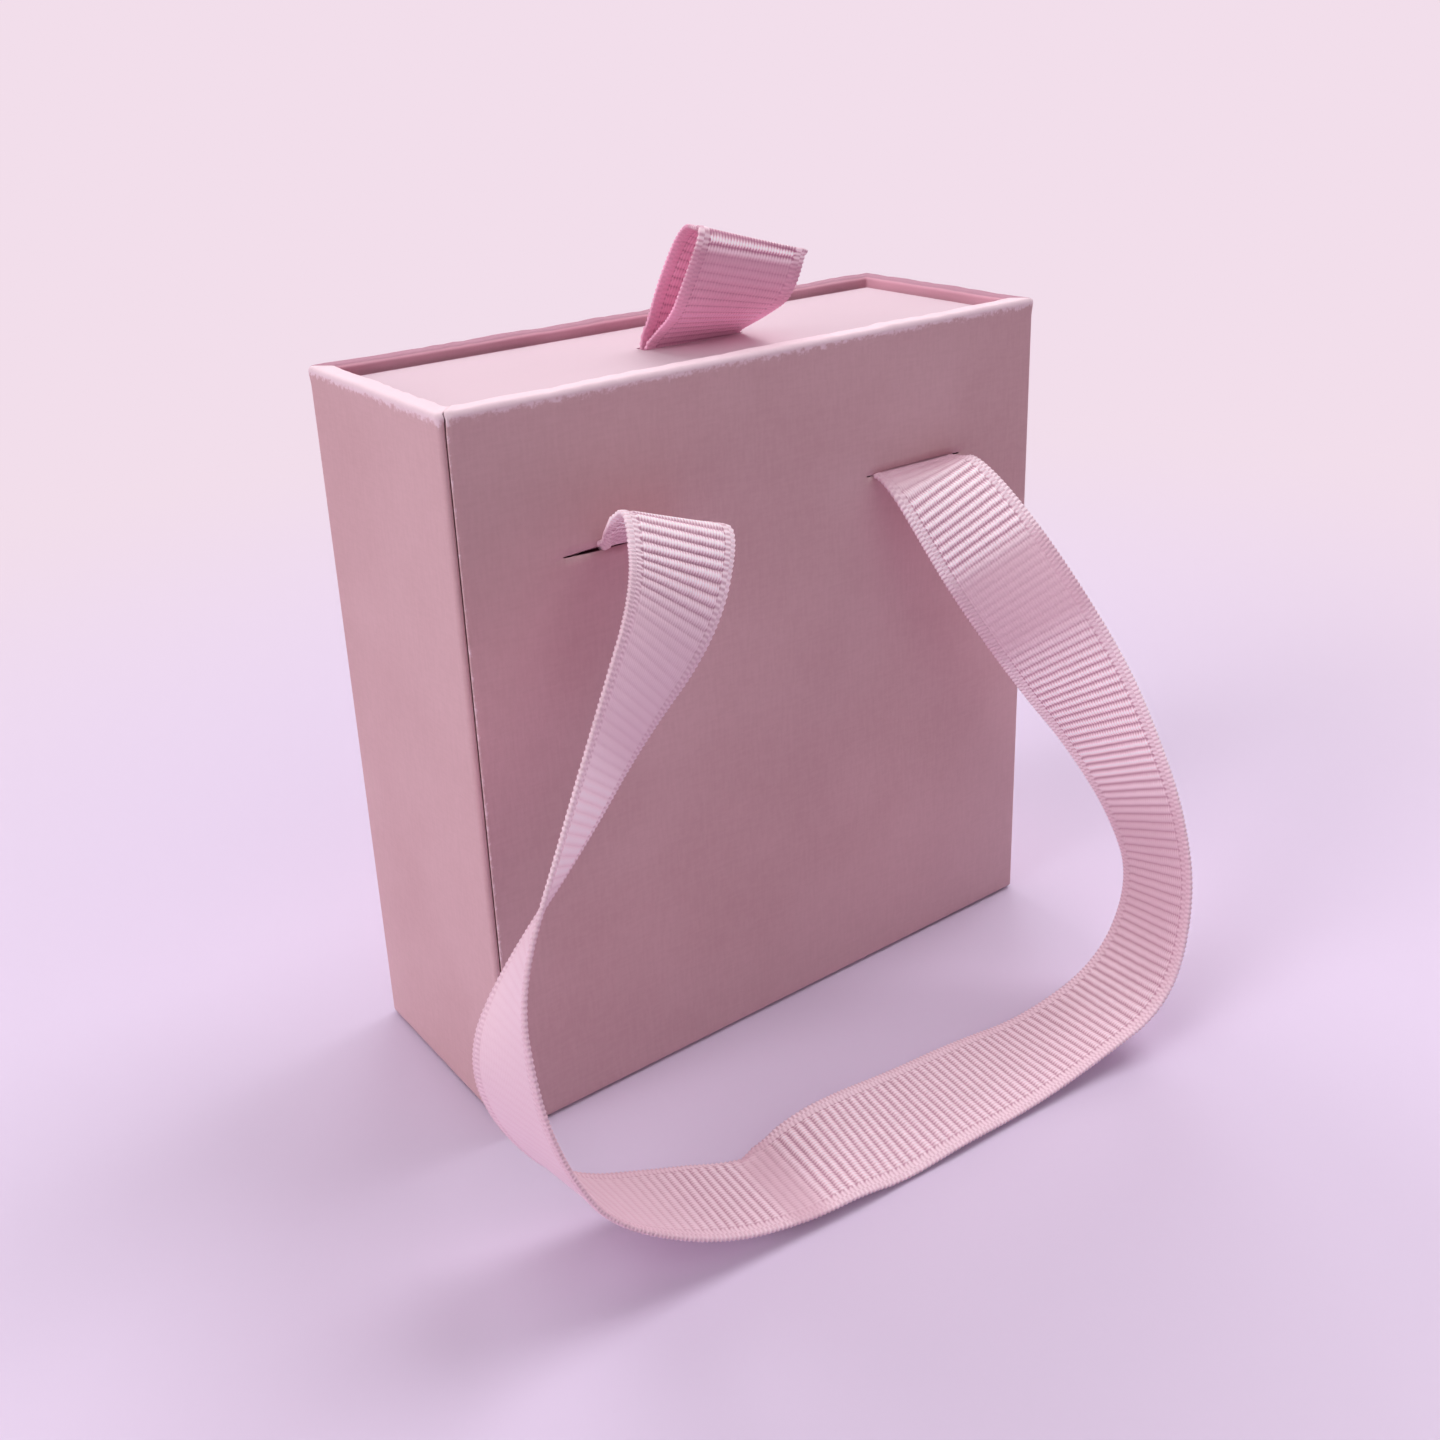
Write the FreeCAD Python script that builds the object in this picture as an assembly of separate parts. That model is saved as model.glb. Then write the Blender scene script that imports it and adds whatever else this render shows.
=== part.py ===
"""Drawer gift box: an upright card sleeve, a card drawer that pulls out of its top, a ribbon
handle through two slits in the front wall and a short ribbon pull on the drawer's end.

Millimetres, +Z up, front face towards -Y. The origin is the middle of the underside.
Every board, paper and ribbon is a solid of its own. Run it to write parts/NODE.step.
"""
import FreeCAD, Part
import math
import os

V = FreeCAD.Vector

# ---- sleeve -----------------------------------------------------------------------------
sleeve_width = 62.0          # X, outside
sleeve_depth = 23.0          # Y, outside
sleeve_height = 63.5         # Z, floor to rim
board = 1.5                  # grey board of the sleeve
paper = 0.15                 # wrapping and lining paper
label = 0.2                  # paper under the base
label_inset = 0.6            # label edge to sleeve edge
corner_round = 0.8           # wrapped vertical edges
rim_round = 0.35             # wrapped rim, outer edge
turn_in = 10.0               # wrap folded over the rim and down the inside
turn_under = 8.0             # wrap folded under the base
seam_gap = 0.25              # open seam of the wrap, on the front near the left edge
seam_inset = 1.1             # seam to the sleeve's left side

# ---- drawer -----------------------------------------------------------------------------
drawer_board = 1.5
side_clear = 0.6             # drawer to sleeve, each side in X
face_clear = 0.7             # drawer to sleeve, front and back in Y
foot_clear = 0.3             # drawer to the sleeve's lining at the bottom
rim_recess = 0.9             # drawer end below the sleeve's rim

# ---- ribbon -----------------------------------------------------------------------------
ribbon_width = 10.0
ribbon_thick = 0.4
slit_end_clear = 0.75        # ribbon edge to slit end, at the handle slits
slit_face_clear = 0.25       # ribbon face to slit edge, at every slit
slit_drop = 13.0             # rim to the handle slits
slit_offset = 15.8           # middle of the box to the middle of a handle slit
tail_length = 12.0           # ribbon glued down inside, below a slit
hinge_stand_off = 1.0        # wall to the line about which the handle swings
hinge_gap = 0.3              # fixed ribbon end to moving ribbon, across that line

pull_slit_y = 0.5
pull_end_clear = 0.4         # ribbon edge to slit end, at the pull's slit
pull_front_clear = 3.5       # glued pull to the drawer's open front
pull_back_clear = 0.7        # glued pull to the drawer's floor
pull_gap = 0.5               # drawer end to the moving loop

# ---- levels and faces worked out from the sizes above -------------------------------------
skin = paper + board                               # wrapped face to the board's inner face
wall = skin + paper                                # whole wall
half_x, half_y = sleeve_width / 2, sleeve_depth / 2
base_z = label + paper                             # underside of the base board
floor_z = base_z + board + paper                   # inside floor, on its lining
rim_z = sleeve_height - paper                      # top of the boards
slit_z = sleeve_height - slit_drop
hinge_y = -half_y - hinge_stand_off
slit_length = ribbon_width + 2 * slit_end_clear
slit_height = ribbon_thick + 2 * slit_face_clear
pull_slit_length = ribbon_width + 2 * pull_end_clear
pull_slit_width = 2 * ribbon_thick + 2 * slit_face_clear

drawer_x = half_x - wall - side_clear
drawer_y = half_y - wall - face_clear
drawer_bottom = floor_z + foot_clear
drawer_top = sleeve_height - rim_recess
drawer_wall = paper + drawer_board + paper

# Route of the handle from the left hinge end to the right one: point and width direction.
# It rises out of the left slit, folds over, twists down past the front left corner, lies
# along the floor and climbs back to the right slit.
HANDLE_ROUTE = [
    ((-15.8, -12.5, 50.5), (-1.0, 0.0, 0.0)),
    ((-15.8, -18.0, 56.5), (-0.95, 0.3, 0.1)),
    ((-21.0, -28.0, 53.5), (-0.7, 0.0, 0.7)),
    ((-30.0, -28.5, 40.5), (-0.7, -0.6, 0.4)),
    ((-36.5, -28.0, 29.5), (-0.5, -0.8, 0.25)),
    ((-40.0, -28.5, 20.0), (0.1, -1.0, 0.05)),
    ((-35.5, -29.5, 7.5), (0.0, -1.0, 0.15)),
    ((-19.5, -31.0, 0.6), (-0.1, -1.0, 0.05)),
    ((-9.5, -32.0, 1.5), (-0.1, -1.0, -0.1)),
    ((2.0, -33.0, 1.0), (-0.1, -1.0, -0.05)),
    ((21.0, -35.0, 3.0), (-0.1, -1.0, 0.25)),
    ((27.5, -33.5, 12.5), (-0.3, -0.9, 0.3)),
    ((26.0, -29.5, 23.0), (0.05, -0.95, 0.35)),
    ((22.0, -26.0, 32.5), (0.45, -0.75, 0.5)),
    ((17.0, -21.5, 43.0), (0.65, -0.5, 0.55)),
    ((15.8, -16.5, 49.0), (0.9, -0.15, 0.35)),
    ((15.8, -12.5, 50.5), (1.0, 0.0, 0.0)),
]

# Route of the pull's loop, which leans forward: up the front leg, over the fold and down the
# back leg, measured from the middle of its slit, pull_gap above the drawer's end.
PULL_ROUTE = [
    ((0.0, -0.3, 0.0), (1.0, 0.0, 0.0)),
    ((0.1, -1.3, 0.5), (1.0, 0.05, -0.05)),
    ((0.4, -4.2, 2.3), (0.99, 0.0, -0.12)),
    ((0.6, -6.6, 4.8), (0.96, -0.19, -0.25)),
    ((1.4, -7.9, 8.8), (0.96, -0.15, -0.25)),
    ((2.0, -5.2, 8.6), (0.92, -0.25, -0.31)),
    ((1.8, -3.0, 6.9), (0.93, -0.14, -0.33)),
    ((1.1, -1.6, 4.3), (0.95, -0.06, -0.32)),
    ((0.2, 0.25, 1.0), (0.97, 0.1, -0.14)),
    ((0.0, 0.3, 0.0), (1.0, 0.0, 0.0)),
]

RUN_SHARE = 0.45             # share of the shorter run that an arc takes on each side
ARC_STEP = 12.0              # degrees of turn between two sections of a ribbon


# ---- small helpers ------------------------------------------------------------------------
def block(x0, x1, y0, y1, z0, z1):
    """Box between two corners."""
    return Part.makeBox(x1 - x0, y1 - y0, z1 - z0, V(x0, y0, z0))


def tube_block(inset, z0, z1):
    """Box of the sleeve's outline, moved in by inset on all four sides."""
    return block(-half_x + inset, half_x - inset, -half_y + inset, half_y - inset, z0, z1)


def upright_edges(shape):
    """Edges parallel to Z."""
    found = []
    for edge in shape.Edges:
        span = edge.BoundBox
        if span.XLength < 1e-6 and span.YLength < 1e-6 and span.ZLength > 1.0:
            found.append(edge)
    return found


def rim_edges(shape, level):
    """Edges that lie in the plane z = level."""
    found = []
    for edge in shape.Edges:
        if abs(edge.BoundBox.ZMin - level) < 1e-6 and abs(edge.BoundBox.ZMax - level) < 1e-6:
            found.append(edge)
    return found


def slit_cutter(side):
    """The opening of one handle slit, through the whole front wall."""
    middle = side * slit_offset
    return block(middle - slit_length / 2, middle + slit_length / 2,
                 -half_y - 1.0, -half_y + wall + 1.0,
                 slit_z - slit_height / 2, slit_z + slit_height / 2)


def cut_slits(shape):
    """Shape with both handle slits cut out."""
    return shape.cut(slit_cutter(-1)).cut(slit_cutter(1))


def to_vectors(route, origin=(0.0, 0.0, 0.0)):
    """Points and width directions of a route as vectors, moved by origin."""
    points = [V(*point) + V(*origin) for point, _ in route]
    widths = [V(*width).normalize() for _, width in route]
    return points, widths


def arc_through(before, corner, after):
    """Tangent arc at a corner of a route: its start, radius, turn and points along it."""
    back, ahead = before - corner, after - corner
    turn = math.pi - back.getAngle(ahead)
    cut = RUN_SHARE * min(back.Length, ahead.Length)
    radius = cut / math.tan(turn / 2)
    start = corner + V(back).normalize() * cut
    end = corner + V(ahead).normalize() * cut
    bisector = (V(back).normalize() + V(ahead).normalize()).normalize()
    centre = corner + bisector * (radius / math.cos(turn / 2))
    steps = max(2, math.ceil(math.degrees(turn) / ARC_STEP))
    spoke_a, spoke_b = start - centre, end - centre
    points = []
    for step in range(steps + 1):
        share = step / steps
        weight_a = math.sin((1 - share) * turn) / math.sin(turn)
        weight_b = math.sin(share * turn) / math.sin(turn)
        points.append(centre + spoke_a * weight_a + spoke_b * weight_b)
    return points, radius, turn


def rounded_route(route, origin=(0.0, 0.0, 0.0), name=""):
    """Straight runs joined by tangent arcs: stations (point, width direction) along a route."""
    points, widths = to_vectors(route, origin)
    stations = [(points[0], widths[0])]
    for index in range(1, len(points) - 1):
        arc, radius, turn = arc_through(points[index - 1], points[index], points[index + 1])
        print(f"{name} arc {index}: radius {radius:.1f}, turn {math.degrees(turn):.0f} degrees")
        first = (widths[index - 1] + widths[index]) / 2
        last = (widths[index] + widths[index + 1]) / 2
        for step, point in enumerate(arc):
            share = step / (len(arc) - 1)
            width = first * (1 - share) ** 2 + widths[index] * (2 * share * (1 - share))
            width = width + last * share ** 2
            stations.append((point, width.normalize()))
    stations.append((points[-1], widths[-1]))
    return stations


def route_length(stations):
    """Length along the stations."""
    return sum((b[0] - a[0]).Length for a, b in zip(stations, stations[1:]))


def ribbon_solid(stations, width, thick, square=True):
    """Flat strip whose middle runs through the stations: ruled faces between its sections.

    Square sections stand at right angles to the strip. Others keep the width directions as
    they are, for a strip that is pulled out of square.
    """
    sections = []
    last = len(stations) - 1
    for index, (point, direction) in enumerate(stations):
        along = stations[min(index + 1, last)][0] - stations[max(index - 1, 0)][0]
        along.normalize()
        across = direction - along * direction.dot(along) if square else V(direction)
        across.normalize()
        normal = along.cross(across).normalize()
        a, b = across * (width / 2), normal * (thick / 2)
        corners = [point - a - b, point + a - b, point + a + b, point - a + b]
        sections.append(Part.makePolygon(corners + [corners[0]]))
    return Part.makeLoft(sections, True, True)


# ---- sleeve -------------------------------------------------------------------------------
def sleeve_boards():
    """Four wall boards, front and back over the full width, and the base between them."""
    x_in, y_in = half_x - skin, half_y - skin
    x_out, y_out = half_x - paper, half_y - paper
    soft = corner_round - paper
    outline = tube_block(paper, base_z, rim_z)
    outline = outline.makeFillet(soft, upright_edges(outline))
    front = outline.common(block(-x_out, x_out, -y_out, -y_in, base_z, rim_z))
    back = outline.common(block(-x_out, x_out, y_in, y_out, base_z, rim_z))
    return {
        "sleeve_front_board": cut_slits(front),
        "sleeve_back_board": back,
        "sleeve_left_board": block(-x_out, -x_in, -y_in, y_in, base_z, rim_z),
        "sleeve_right_board": block(x_in, x_out, -y_in, y_in, base_z, rim_z),
        "sleeve_base_board": block(-x_in, x_in, -y_in, y_in, base_z, base_z + board),
    }


def sleeve_wrap():
    """Outer paper: four faces, over the rim, down the inside and under the base."""
    outside = tube_block(0, label, sleeve_height)
    outside = outside.makeFillet(corner_round, upright_edges(outside))
    outside = outside.makeFillet(rim_round, rim_edges(outside, sleeve_height))
    boards = tube_block(paper, base_z, rim_z)
    boards = boards.makeFillet(corner_round - paper, upright_edges(boards))
    wrap = outside.cut(boards).cut(tube_block(wall, rim_z - 1.0, sleeve_height + 1.0))
    wrap = wrap.cut(tube_block(turn_under, 0, base_z + 1.0))
    folded = tube_block(skin, rim_z - turn_in, rim_z).cut(tube_block(wall, 0, sleeve_height))
    wrap = cut_slits(wrap.fuse(folded).removeSplitter())
    seam_x = -half_x + seam_inset
    seam = block(seam_x, seam_x + seam_gap, -half_y - 1, -half_y + paper, base_z, rim_z)
    return wrap.cut(seam)


def sleeve_papers():
    """Lining of the walls and of the floor, and the label under the base."""
    low = base_z + board
    lining = tube_block(skin, low, rim_z - turn_in).cut(tube_block(wall, 0, sleeve_height))
    return {
        "sleeve_wrap": sleeve_wrap(),
        "sleeve_wall_lining": cut_slits(lining),
        "sleeve_floor_lining": tube_block(wall, low, floor_z),
        "base_label": tube_block(label_inset, 0, label),
    }


def handle_end(side):
    """Fixed end of the handle: out through its slit, and glued down inside the front wall."""
    middle = side * slit_offset
    x0, x1 = middle - ribbon_width / 2, middle + ribbon_width / 2
    face = -half_y + wall
    top = slit_z + ribbon_thick / 2
    through = block(x0, x1, hinge_y, face + ribbon_thick, top - ribbon_thick, top)
    glued = block(x0, x1, face, face + ribbon_thick, slit_z - tail_length, top)
    return through.fuse(glued).removeSplitter()


def handle_ribbon():
    """Free part of the handle, from one hinge end to the other."""
    stations = rounded_route(HANDLE_ROUTE, name="handle")
    for end, beside in ((0, 1), (-1, -2)):
        point, width = stations[end]
        ahead = (stations[beside][0] - point).normalize()
        stations[end] = (point + ahead * hinge_gap, width)
    solid = ribbon_solid(stations, ribbon_width, ribbon_thick)
    ideal = route_length(stations) * ribbon_width * ribbon_thick
    print(f"handle length {route_length(stations):.1f}, volume {solid.Volume:.1f} for {ideal:.1f}")
    return solid


# ---- drawer -------------------------------------------------------------------------------
def drawer_block(inset, front_inset):
    """Box of the drawer's outline moved in by inset, and by front_inset at its open front."""
    return block(-drawer_x + inset, drawer_x - inset, -drawer_y + front_inset,
                 drawer_y - inset, drawer_bottom + inset, drawer_top - inset)


def pull_slit():
    """Opening in the drawer's end for both layers of the pull."""
    return block(-pull_slit_length / 2, pull_slit_length / 2,
                 pull_slit_y - pull_slit_width / 2, pull_slit_y + pull_slit_width / 2,
                 drawer_top - drawer_wall - 1.0, drawer_top + 1.0)


def drawer_boards():
    """Tray of five boards: its floor stands at the back and its open side faces the front."""
    x_out, z0, z1 = drawer_x - paper, drawer_bottom + paper, drawer_top - paper
    front, back = -drawer_y + paper, drawer_y - paper
    side = drawer_board
    return {
        "drawer_floor_board": block(-x_out, x_out, back - side, back, z0, z1),
        "drawer_left_board": block(-x_out, -x_out + side, front, back - side, z0, z1),
        "drawer_right_board": block(x_out - side, x_out, front, back - side, z0, z1),
        "drawer_bottom_board": block(-x_out + side, x_out - side, front, back - side,
                                     z0, z0 + side),
        "drawer_top_board": block(-x_out + side, x_out - side, front, back - side,
                                  z1 - side, z1).cut(pull_slit()),
    }


def drawer_papers():
    """Outer paper, folded over the tray's front edges, and the lining inside."""
    inner = drawer_block(drawer_wall, -1.0)
    outside = drawer_block(0, 0)
    edges = upright_edges(outside)
    wrap = outside.makeFillet(paper, edges).cut(drawer_block(paper, paper))
    wrap = wrap.cut(drawer_block(drawer_wall, -1.0)).cut(pull_slit())
    lining = drawer_block(paper + drawer_board, paper).cut(inner).cut(pull_slit())
    return {"drawer_wrap": wrap, "drawer_lining": lining}


def pull_end():
    """Fixed ends of the pull: both layers down through the slit, then glued flat each way."""
    half = ribbon_width / 2
    under = drawer_top - drawer_wall
    layers = block(-half, half, pull_slit_y - ribbon_thick, pull_slit_y + ribbon_thick,
                   under - ribbon_thick, drawer_top)
    glued = block(-half, half, -drawer_y + pull_front_clear,
                  drawer_y - drawer_wall - pull_back_clear, under - ribbon_thick, under)
    return layers.fuse(glued).removeSplitter()


def pull_loop():
    """Loop of the pull above the drawer's end."""
    origin = (0.0, pull_slit_y, drawer_top + pull_gap)
    stations = rounded_route(PULL_ROUTE, origin, "pull")
    return ribbon_solid(stations, ribbon_width, ribbon_thick, square=False)


# ---- build --------------------------------------------------------------------------------
def build():
    """All nodes by name."""
    nodes = {}
    nodes.update(sleeve_boards())
    nodes.update(sleeve_papers())
    nodes["handle_end_left"] = handle_end(-1)
    nodes["handle_end_right"] = handle_end(1)
    nodes["handle_ribbon"] = handle_ribbon()
    nodes.update(drawer_boards())
    nodes.update(drawer_papers())
    nodes["pull_end"] = pull_end()
    nodes["pull_loop"] = pull_loop()
    return nodes


os.makedirs("parts", exist_ok=True)
for node, shape in build().items():
    solids = shape.Solids
    box = shape.BoundBox
    print(f"{node}: {len(solids)} solid, valid {shape.isValid()}, {shape.Volume:.2f} mm3, "
          f"z {box.ZMin:.2f} to {box.ZMax:.2f}")
    shape.exportStep(f"parts/{node}.step")
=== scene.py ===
"""The look of a small pink gift box: a papered sleeve with a ribbon handle, and a drawer with a ribbon
pull.

Sizes and places are in millimetres in the frame's own axes. The box stands on z = 0 and faces -Y."""
import math

import bpy
import numpy as np
from mathutils import Matrix, Vector


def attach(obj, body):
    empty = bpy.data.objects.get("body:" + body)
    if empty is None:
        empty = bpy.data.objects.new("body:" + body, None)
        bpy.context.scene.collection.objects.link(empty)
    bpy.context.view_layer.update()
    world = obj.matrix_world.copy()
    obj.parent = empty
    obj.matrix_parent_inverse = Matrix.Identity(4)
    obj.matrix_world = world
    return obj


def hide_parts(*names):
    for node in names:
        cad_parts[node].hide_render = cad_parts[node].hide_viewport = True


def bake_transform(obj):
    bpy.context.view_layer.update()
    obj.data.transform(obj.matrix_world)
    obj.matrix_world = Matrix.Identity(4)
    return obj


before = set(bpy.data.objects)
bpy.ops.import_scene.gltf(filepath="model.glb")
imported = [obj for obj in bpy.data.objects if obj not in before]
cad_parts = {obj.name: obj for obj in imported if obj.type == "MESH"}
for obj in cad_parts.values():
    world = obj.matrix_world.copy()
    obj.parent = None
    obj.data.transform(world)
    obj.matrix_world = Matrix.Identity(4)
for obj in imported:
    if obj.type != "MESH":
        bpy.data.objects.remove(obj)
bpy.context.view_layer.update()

MM = 0.001

# ---------------------------------------------------------------- the box's own measures

half_x, half_y, sleeve_top = 31.0, 11.5, 63.5
wall_thick, paper_thick, label_thick = 1.8, 0.15, 0.2
corner_round, inner_corner, rim_round = 0.35, 0.2, 0.35
turn_in, turn_under = 10.0, 8.0
seam_x, seam_gap = -30.4, 0.1
slit_x, slit_z, slit_half = 15.8, 50.5, 5.75
slit_open, slit_end_open, slit_taper = 0.2, 0.07, 3.2
inner_face_y = -9.5

# The pull's slit on the drawer's end.
pull_slit_y, panel_top = 0.5, 62.6

# ---------------------------------------------------------------- camera

camera_place = (-77.774, -108.367, 89.427)
camera_azimuth = -0.63096
camera_elevation = 0.36479
camera_roll = -0.038729
camera_lens = 38.05
camera_shift = (0.0024, -0.0863)
camera_sensor = 36
camera_clip = (0.005, 50)


def make_camera():
    """A camera that looks from front left and above, turned a little about its own line of sight."""
    across, height = math.cos(camera_elevation), math.sin(camera_elevation)
    back = Vector((math.sin(camera_azimuth) * across, -math.cos(camera_azimuth) * across, height))
    level = Vector((math.cos(camera_azimuth), math.sin(camera_azimuth), 0))
    upright = back.cross(level)
    right = math.cos(camera_roll) * level + math.sin(camera_roll) * upright
    up = math.cos(camera_roll) * upright - math.sin(camera_roll) * level
    camera = bpy.data.objects.new("camera", bpy.data.cameras.new("camera"))
    bpy.context.scene.collection.objects.link(camera)
    turn = Matrix((right, up, back)).transposed().to_4x4()
    camera.matrix_world = Matrix.Translation(Vector(camera_place) * MM) @ turn
    camera.data.sensor_width = camera_sensor
    camera.data.lens = camera_lens
    camera.data.shift_x, camera.data.shift_y = camera_shift
    camera.data.clip_start, camera.data.clip_end = camera_clip
    bpy.context.scene.camera = camera


make_camera()

# ---------------------------------------------------------------- shader helpers


class Value:
    """A number socket that arithmetic works on: each operator adds its Math node."""

    def __init__(self, finish, socket):
        self.finish, self.socket = finish, socket

    def math(self, operation, *others):
        return self.finish.node("ShaderNodeMath", {"operation": operation}, dict(enumerate((self,) + others)))

    def reflected(self, operation, other):
        return self.finish.node("ShaderNodeMath", {"operation": operation}, {0: other, 1: self})

    def __add__(self, other):
        return self.math("ADD", other)

    def __sub__(self, other):
        return self.math("SUBTRACT", other)

    def __mul__(self, other):
        return self.math("MULTIPLY", other)

    def __rsub__(self, other):
        return self.reflected("SUBTRACT", other)

    def __pow__(self, other):
        return self.math("POWER", other)

    __radd__ = __add__
    __rmul__ = __mul__

    def between(self, low, high):
        """0 below low, 1 above high, and a smooth step between."""
        sockets = {"Value": self, "From Min": low, "From Max": high}
        return self.finish.node("ShaderNodeMapRange", {"interpolation_type": "SMOOTHSTEP"}, sockets)


class Finish:
    """A procedural material: node() adds any node, and constants go straight on the shader's sockets."""

    def __init__(self, name, **constants):
        self.material = bpy.data.materials.new(name)
        self.material.use_nodes = True
        self.tree = self.material.node_tree
        self.shader = self.tree.nodes["Principled BSDF"]
        for socket, amount in constants.items():
            self.shader.inputs[socket.replace("_", " ")].default_value = amount

    def node(self, kind, settings=None, sockets=None, out=0):
        """A node of that type: its settings first, then the values or links of its sockets."""
        made = self.tree.nodes.new(kind)
        for name, setting in (settings or {}).items():
            setattr(made, name, setting)
        for key, given in (sockets or {}).items():
            self.feed(made.inputs[key], given)
        return Value(self, made.outputs[out])

    def feed(self, socket, given):
        if isinstance(given, Value):
            self.tree.links.new(given.socket, socket)
        else:
            socket.default_value = given

    def place(self, stretch=(1, 1, 1)):
        """Object coordinates in millimetres, stretched along each axis."""
        here = self.node("ShaderNodeTexCoord", out="Object")
        scale = tuple(s / MM for s in stretch)
        return self.node("ShaderNodeMapping", sockets={"Vector": here, "Scale": scale})

    def noise(self, where, scale, detail=2.0, roughness=0.5):
        sockets = {"Vector": where, "Scale": scale, "Detail": detail, "Roughness": roughness}
        return self.node("ShaderNodeTexNoise", sockets=sockets)

    def attribute(self, name):
        return self.node("ShaderNodeAttribute", {"attribute_name": name}, out="Fac")

    def mix(self, mask, first, second):
        """The first colour where mask is 0 and the second where it is 1."""
        settings = {"data_type": "RGBA"}
        return self.node("ShaderNodeMix", settings, {0: mask, 6: first, 7: second}, out=2)

    def bump(self, height, depth, strength=1.0):
        """Relief of that height pattern, depth millimetres from its lowest to its highest."""
        sockets = {"Height": height, "Distance": depth * MM, "Strength": strength}
        return self.node("ShaderNodeBump", sockets=sockets)

    def surface(self, **given):
        for socket, value in given.items():
            self.feed(self.shader.inputs[socket.replace("_", " ")], value)
        return self.material


# ---------------------------------------------------------------- finishes

# How much of a noise pattern goes by in a millimetre, along X, Y and Z.
laid_upright = (3.2, 3.2, 0.5)
laid_level = (0.55, 0.55, 3.6)
paper_fibre = (1.6, 1.6, 1.6)
rubbed_fray = (2.2, 2.2, 2.2)
board_fibre = (2.4, 2.4, 0.8)
paper_cloud = 0.055
board_fleck = 2.6

paper_grain_depth, board_grain_depth = 0.05, 0.06
black = (0, 0, 0, 1)
# Pale rubbed fibres: real wear at the rim and corners, and also a painted highlight on the lit front and left
# rim and on the seam's lip.
rubbed_and_lit_paper = (0.89, 0.67, 0.76, 1)


def paper_finish(name, lit, deep, coarse=1.0, inner=None):
    """Matte wrapping paper: laid grain both ways, soft mottling between the lit and the deep colour, and
    fibres rubbed paler where the wear attribute is set; that paleness is real wear and also a painted
    highlight on the lit rim and on the seam's lip. Inner is a pair of painted shade colours: where the
    attribute that marks the inner shade is a half (the back and right rim, painted in shade), and where it is
    1 (the wall's inner face, a deeper pink painted for the light that bounces in the narrow gap)."""
    paper = Finish(name, Specular_IOR_Level=0.3)
    upright = paper.noise(paper.place(laid_upright), 1.0, 3.0, 0.6)
    level = paper.noise(paper.place(laid_level), 1.0, 3.0, 0.6)
    fibre = paper.noise(paper.place(paper_fibre), 1.7, 4.0, 0.7)
    cloud = paper.noise(paper.place(), paper_cloud)
    grain = upright * 0.4 + level * 0.35 + fibre * 0.25
    tone = grain.between(0.36, 0.64) * 0.5 + cloud.between(0.35, 0.65) * 0.5
    colour = paper.mix(tone, deep, lit)
    if inner:
        # Painted shade: the back and right rim and the wall's inner face take the inner pair of colours.
        inside = paper.attribute("inside")
        colour = paper.mix(inside.between(0, 0.5), colour, inner[0])
        colour = paper.mix(inside.between(0.5, 1), colour, inner[1])
    frayed = paper.noise(paper.place(rubbed_fray), 1.0, 3.0, 0.6)
    rubbed_and_lit = (paper.attribute("wear_and_painted_light") + (frayed - 0.5) * 0.9).between(0.38, 0.66) * (0.75 + fibre * 0.25)
    colour = paper.mix(rubbed_and_lit, colour, rubbed_and_lit_paper)
    rough = 0.62 + grain.between(0.3, 0.7) * 0.16
    relief = paper.bump(grain, paper_grain_depth * coarse, 0.7)
    return paper.surface(Base_Color=colour, Roughness=rough, Normal=relief)


def board_finish():
    """Raw board painted a dark reddish brown, which stands in for the shade in the narrow seam and cuts where
    it shows: pulp flecks over a fine fibrous grain.
    """
    dark_pulp, light_pulp, fleck_colour = (0.24, 0.12, 0.14, 1), (0.36, 0.2, 0.22, 1), (0.13, 0.07, 0.08, 1)
    board = Finish("raw_grey_board", Specular_IOR_Level=0.2)
    fibre = board.noise(board.place(board_fibre), 1.0, 4.0, 0.65)
    fleck = board.noise(board.place(), board_fleck).between(0.6, 0.68)
    colour = board.mix(fibre.between(0.35, 0.65), dark_pulp, light_pulp)
    colour = board.mix(fleck * 0.5, colour, fleck_colour)
    relief = board.bump(fibre, board_grain_depth)
    return board.surface(Base_Color=colour, Roughness=0.75 + fibre * 0.2, Normal=relief)


# The ribbon's cloth, in mm. The ribbed body ends and the plain woven edge begins between ribbed_half and
# edge_half, with a line of small holes between them. A rib's section is |sin| to the power rib_round, and
# the painted highlight on its crest is |sin| to the power crest_sharpness.
ribbon_width = 10.0
half_ribbon = ribbon_width / 2
rib_pitch = 0.8
steps_per_rib = 8
rib_round = 0.7
crest_sharpness = 2.6
warp_pitch = 0.27
thread_depth = 0.07
ribbed_half, edge_half = 3.85, 4.1
hole_line, hole_core, hole_reach = 3.95, 0.02, 0.14
outer_row = 4.52


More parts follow.
